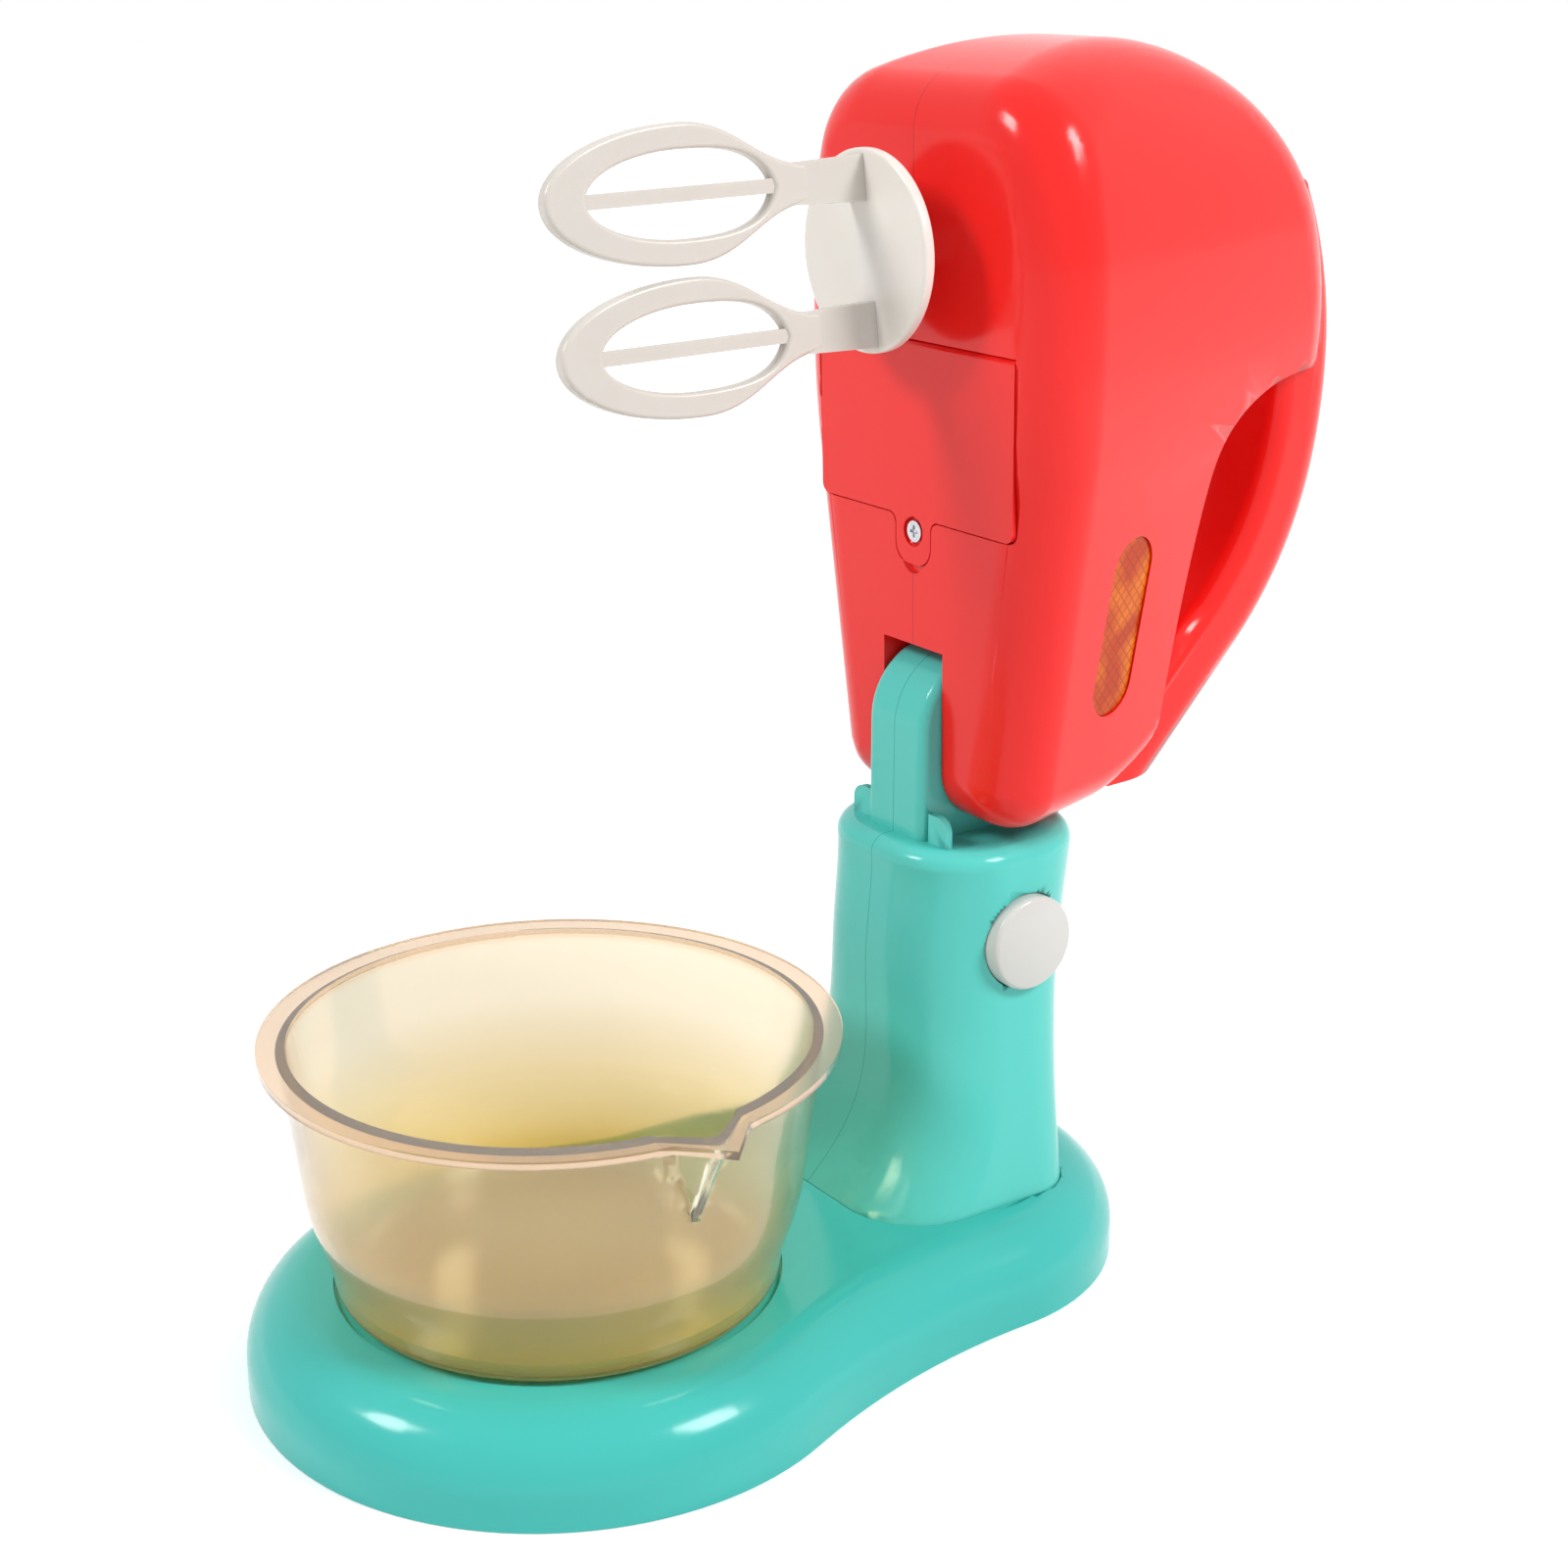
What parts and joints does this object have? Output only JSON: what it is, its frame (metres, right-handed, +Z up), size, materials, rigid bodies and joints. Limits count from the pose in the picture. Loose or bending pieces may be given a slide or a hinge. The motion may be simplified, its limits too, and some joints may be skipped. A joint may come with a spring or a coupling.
{
  "type": "toy stand mixer",
  "caption": "Child's toy stand mixer: a base with a loose translucent bowl, and a hand-mixer head that tilts on a column and turns a disc with two loop whisks.",
  "frame": {"origin": "on the ground under the bowl's axis", "axes": "+X from the bowl to the column, +Z up; y = 0 is the seam between the moulded halves"},
  "size_m": [0.2439, 0.1211, 0.2418],
  "materials": {
    "red": "gloss",
    "teal": "gloss",
    "white": "gloss",
    "amber_clear": "gloss",
    "lens": "gloss",
    "inner": "matte",
    "gear": "matte",
    "cell": "satin",
    "steel": "satin"
  },
  "bodies": {
    "stand": {"base_shell": "teal", "base_plate": "teal", "base_screws": "steel", "column_left": "teal", "column_right": "teal", "column_screws": "steel", "button_spring": "steel"},
    "bowl": {"bowl": "amber_clear"},
    "button": {"release_button": "white", "latch_bar": "white"},
    "head": {"head_left": "red", "head_right": "red", "head_screws": "steel", "hinge_pin": "steel", "battery_tray": "inner", "battery_lower": "cell", "battery_upper": "cell", "contact_left": "steel", "contact_right": "steel", "lens_left": "lens", "lens_right": "lens", "gearbox_front": "inner", "gearbox_rear": "inner", "idler_axle": "steel", "motor": "steel", "power_switch": "inner", "spindle_bush": "inner"},
    "door": {"battery_door": "red", "door_screw": "steel"},
    "power": {"power_button": "white"},
    "beater": {"spindle": "white", "spindle_gear": "gear", "beater_disc": "white", "whisk_upper": "white", "whisk_lower": "white"},
    "idler": {"idler_gear": "gear"},
    "rotor": {"motor_shaft": "steel", "motor_pinion": "gear"}
  },
  "joints": [
    {"name": "head_tilt", "type": "hinge", "parent": "stand", "child": "head", "pos_m": [0.0942, 0, 0.112], "axis": [0, 1, 0], "range_deg": [-88.9, 0]},
    {"name": "bowl_lift", "type": "slide", "parent": "stand", "child": "bowl", "axis": [0, 0, 1], "range_m": [0, 0.045]},
    {"name": "button_press", "type": "slide", "parent": "stand", "child": "button", "axis": [0, 1, 0], "range_m": [0, 0.0025], "stiffness_N_per_m": 300, "springref_m": -0.002, "deforming": ["button_spring"]},
    {"name": "battery_door_hinge", "type": "hinge", "parent": "head", "child": "door", "pos_m": [0.08358, 0, 0.18656], "axis": [0, 1, 0], "range_deg": [0, 40]},
    {"name": "power_press", "type": "slide", "parent": "head", "child": "power", "axis": [-0.988, 0, -0.1545], "range_m": [0, 0.0008], "stiffness_N_per_m": 400, "springref_m": -0.001},
    {"name": "beater_spin", "type": "hinge", "parent": "head", "child": "beater", "pos_m": [0.09243, 0, 0.20518], "axis": [0.9998, 0, 0.019], "continuous": true},
    {"name": "idler_spin", "type": "hinge", "parent": "head", "child": "idler", "pos_m": [0.09215, 0, 0.21988], "axis": [0.9998, 0, 0.019], "continuous": true},
    {"name": "motor_spin", "type": "hinge", "parent": "head", "child": "rotor", "pos_m": [0.09243, 0, 0.20518], "axis": [0.9998, 0, 0.019], "continuous": true}
  ],
  "couplings": [
    {"joint": "idler_spin", "follows": "beater_spin", "ratio": -2.5},
    {"joint": "motor_spin", "follows": "beater_spin", "ratio": 6.25}
  ]
}
